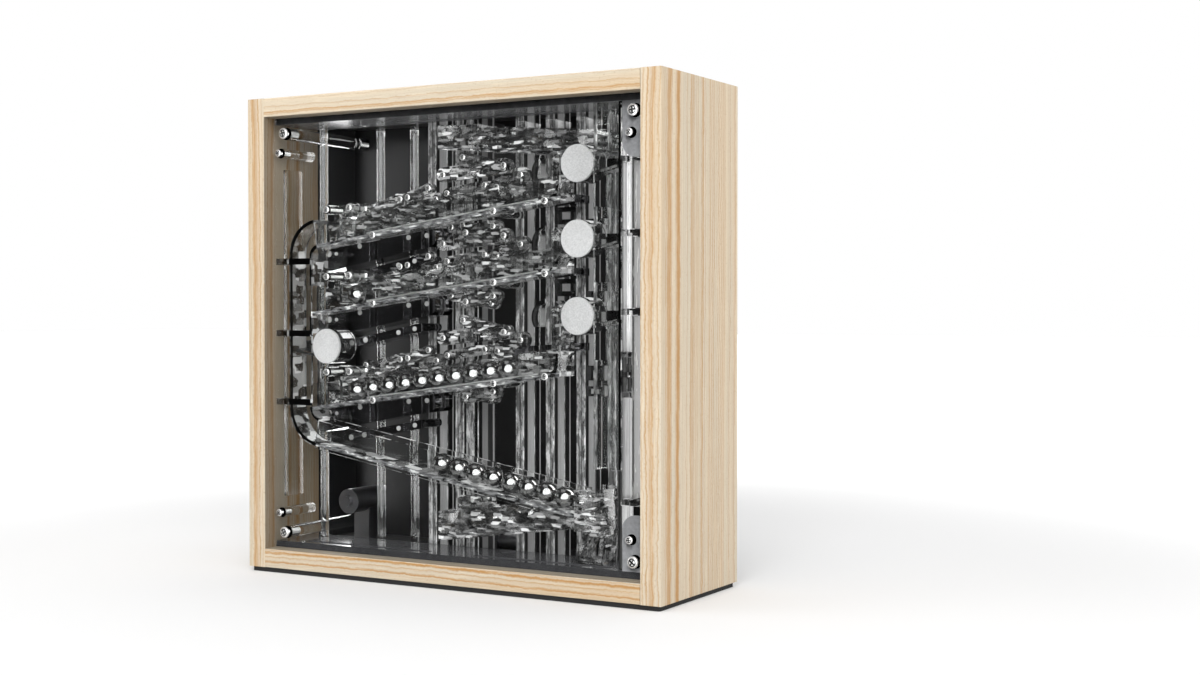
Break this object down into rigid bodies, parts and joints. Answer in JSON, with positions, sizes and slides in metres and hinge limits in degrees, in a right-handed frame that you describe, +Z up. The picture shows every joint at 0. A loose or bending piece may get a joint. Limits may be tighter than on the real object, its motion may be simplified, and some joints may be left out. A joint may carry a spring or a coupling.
{
  "type": "rolling ball clock",
  "caption": "Wooden shadow-box clock that tells the time with steel balls rolling on clear sloping tracks, with a lift, valve drums and swinging gates.",
  "frame": {"origin": "on the surface the clock stands on, under the middle of the case", "axes": "+X to the right as seen from the front, -Y towards the front, +Z up"},
  "size_m": [0.3, 0.1, 0.303],
  "materials": {
    "wood": "oiled",
    "base_pad": "matt",
    "dark_panel": "matt",
    "dark_plate": "gloss",
    "clear_acrylic": "polished clear",
    "smoked_acrylic": "polished smoked",
    "grey_translucent": "satin translucent",
    "screw_steel": "bright",
    "ball_steel": "mirror",
    "frosted_cap": "frosted",
    "motor_metal": "satin",
    "carriage_plastic": "satin",
    "inlet_plastic": "satin"
  },
  "bodies": {
    "case": {"stiles": "wood", "rails": "wood", "base_pad": "base_pad", "back_panel": "dark_panel", "back_screws": "screw_steel", "power_inlet": "inlet_plastic", "front_panel": "clear_acrylic", "corner_screws": "screw_steel", "corner_posts": "clear_acrylic", "guide_screws": "screw_steel", "guide_posts": "clear_acrylic", "corner_brackets": "grey_translucent", "floor_plate": "dark_plate", "top_plate": "dark_plate", "uprights": "clear_acrylic", "side_rods": "clear_acrylic", "track_front_cheeks": "clear_acrylic", "track_rear_cheeks": "clear_acrylic", "track_floors": "clear_acrylic", "track_spacers": "clear_acrylic", "track_screws": "screw_steel", "entry_chutes": "clear_acrylic", "release_units": "smoked_acrylic", "release_pins": "screw_steel", "drop_tube_cheeks": "clear_acrylic", "drop_tube_walls": "clear_acrylic", "tube_brackets": "clear_acrylic", "shaft_plates": "clear_acrylic", "shaft_walls": "clear_acrylic", "shaft_brackets": "clear_acrylic", "shaft_window_block": "clear_acrylic", "queue_cheeks": "clear_acrylic", "queue_floor": "clear_acrylic", "turn_shell": "clear_acrylic", "turn_pedestal": "clear_acrylic", "rear_channel_cheeks": "clear_acrylic", "rear_channel_floors": "clear_acrylic", "lift_tube": "clear_acrylic", "lift_motor": "motor_metal", "release_motor": "motor_metal", "valve_arms": "clear_acrylic"},
    "minute_gate": {"minute_gate": "clear_acrylic"},
    "ten_minute_gate": {"ten_minute_gate": "clear_acrylic"},
    "hour_gate": {"hour_gate": "clear_acrylic"},
    "return_gate": {"return_gate": "clear_acrylic"},
    "minute_valve": {"minute_drum": "clear_acrylic", "minute_cap": "frosted_cap"},
    "ten_minute_valve": {"ten_minute_drum": "clear_acrylic", "ten_minute_cap": "frosted_cap"},
    "hour_valve": {"hour_drum": "clear_acrylic", "hour_cap": "frosted_cap"},
    "return_valve": {"return_drum": "clear_acrylic", "return_cap": "frosted_cap"},
    "lift_carriage": {"lift_carriage": "carriage_plastic", "lift_ball": "ball_steel"},
    "lift_screw": {"lift_screw": "screw_steel"},
    "hour_balls": {"hour_balls": "ball_steel"},
    "ten_minute_ball": {"ten_minute_ball": "ball_steel"},
    "queue_balls": {"queue_balls": "ball_steel"},
    "return_balls": {"return_balls": "ball_steel"}
  },
  "joints": [
    {"name": "minute_gate_swing", "type": "hinge", "parent": "case", "child": "minute_gate", "pos_m": [-0.0785, -0.028, 0.2323], "axis": [0, 1, 0], "range_deg": [0, 48]},
    {"name": "ten_minute_gate_swing", "type": "hinge", "parent": "case", "child": "ten_minute_gate", "pos_m": [-0.0785, -0.028, 0.1898], "axis": [0, 1, 0], "range_deg": [0, 48]},
    {"name": "hour_gate_swing", "type": "hinge", "parent": "case", "child": "hour_gate", "pos_m": [-0.0785, -0.028, 0.1293], "axis": [0, 1, 0], "range_deg": [0, 48]},
    {"name": "return_gate_swing", "type": "hinge", "parent": "case", "child": "return_gate", "pos_m": [0.0028, -0.0106, 0.0508], "axis": [0, 1, 0], "range_deg": [0, 48]},
    {"name": "minute_valve_turn", "type": "hinge", "parent": "case", "child": "minute_valve", "pos_m": [0.088, -0.028, 0.253], "axis": [0, 1, 0], "range_deg": [0, 55]},
    {"name": "ten_minute_valve_turn", "type": "hinge", "parent": "case", "child": "ten_minute_valve", "pos_m": [0.088, -0.028, 0.2094], "axis": [0, 1, 0], "range_deg": [0, 55]},
    {"name": "hour_valve_turn", "type": "hinge", "parent": "case", "child": "hour_valve", "pos_m": [0.088, -0.028, 0.1645], "axis": [0, 1, 0], "range_deg": [0, 55]},
    {"name": "return_valve_turn", "type": "hinge", "parent": "case", "child": "return_valve", "pos_m": [-0.097, -0.028, 0.145], "axis": [0, -1, 0], "range_deg": [0, 55]},
    {"name": "lift_screw_spin", "type": "hinge", "parent": "case", "child": "lift_screw", "pos_m": [-0.0135, 0.027, 0.1], "axis": [0, 0, 1], "range_deg": [0, 10770]},
    {"name": "lift_carriage_slide", "type": "slide", "parent": "case", "child": "lift_carriage", "axis": [0, 0, 1], "range_m": [0, 0.2392]},
    {"name": "hour_balls_roll", "type": "slide", "parent": "case", "child": "hour_balls", "axis": [0.9907, 0, 0.1357], "range_m": [0, 0.025]},
    {"name": "ten_minute_ball_roll", "type": "slide", "parent": "case", "child": "ten_minute_ball", "axis": [0.9907, 0, 0.1357], "range_m": [0, 0.13]},
    {"name": "queue_balls_roll", "type": "slide", "parent": "case", "child": "queue_balls", "axis": [-0.9845, 0, 0.1754], "range_m": [0, 0.05]},
    {"name": "return_balls_roll", "type": "slide", "parent": "case", "child": "return_balls", "axis": [0.9907, 0, 0.1357], "range_m": [0, 0.018]}
  ],
  "couplings": [
    {"joint": "lift_screw_spin", "follows": "lift_carriage_slide", "rad_per_m": 785.4}
  ]
}
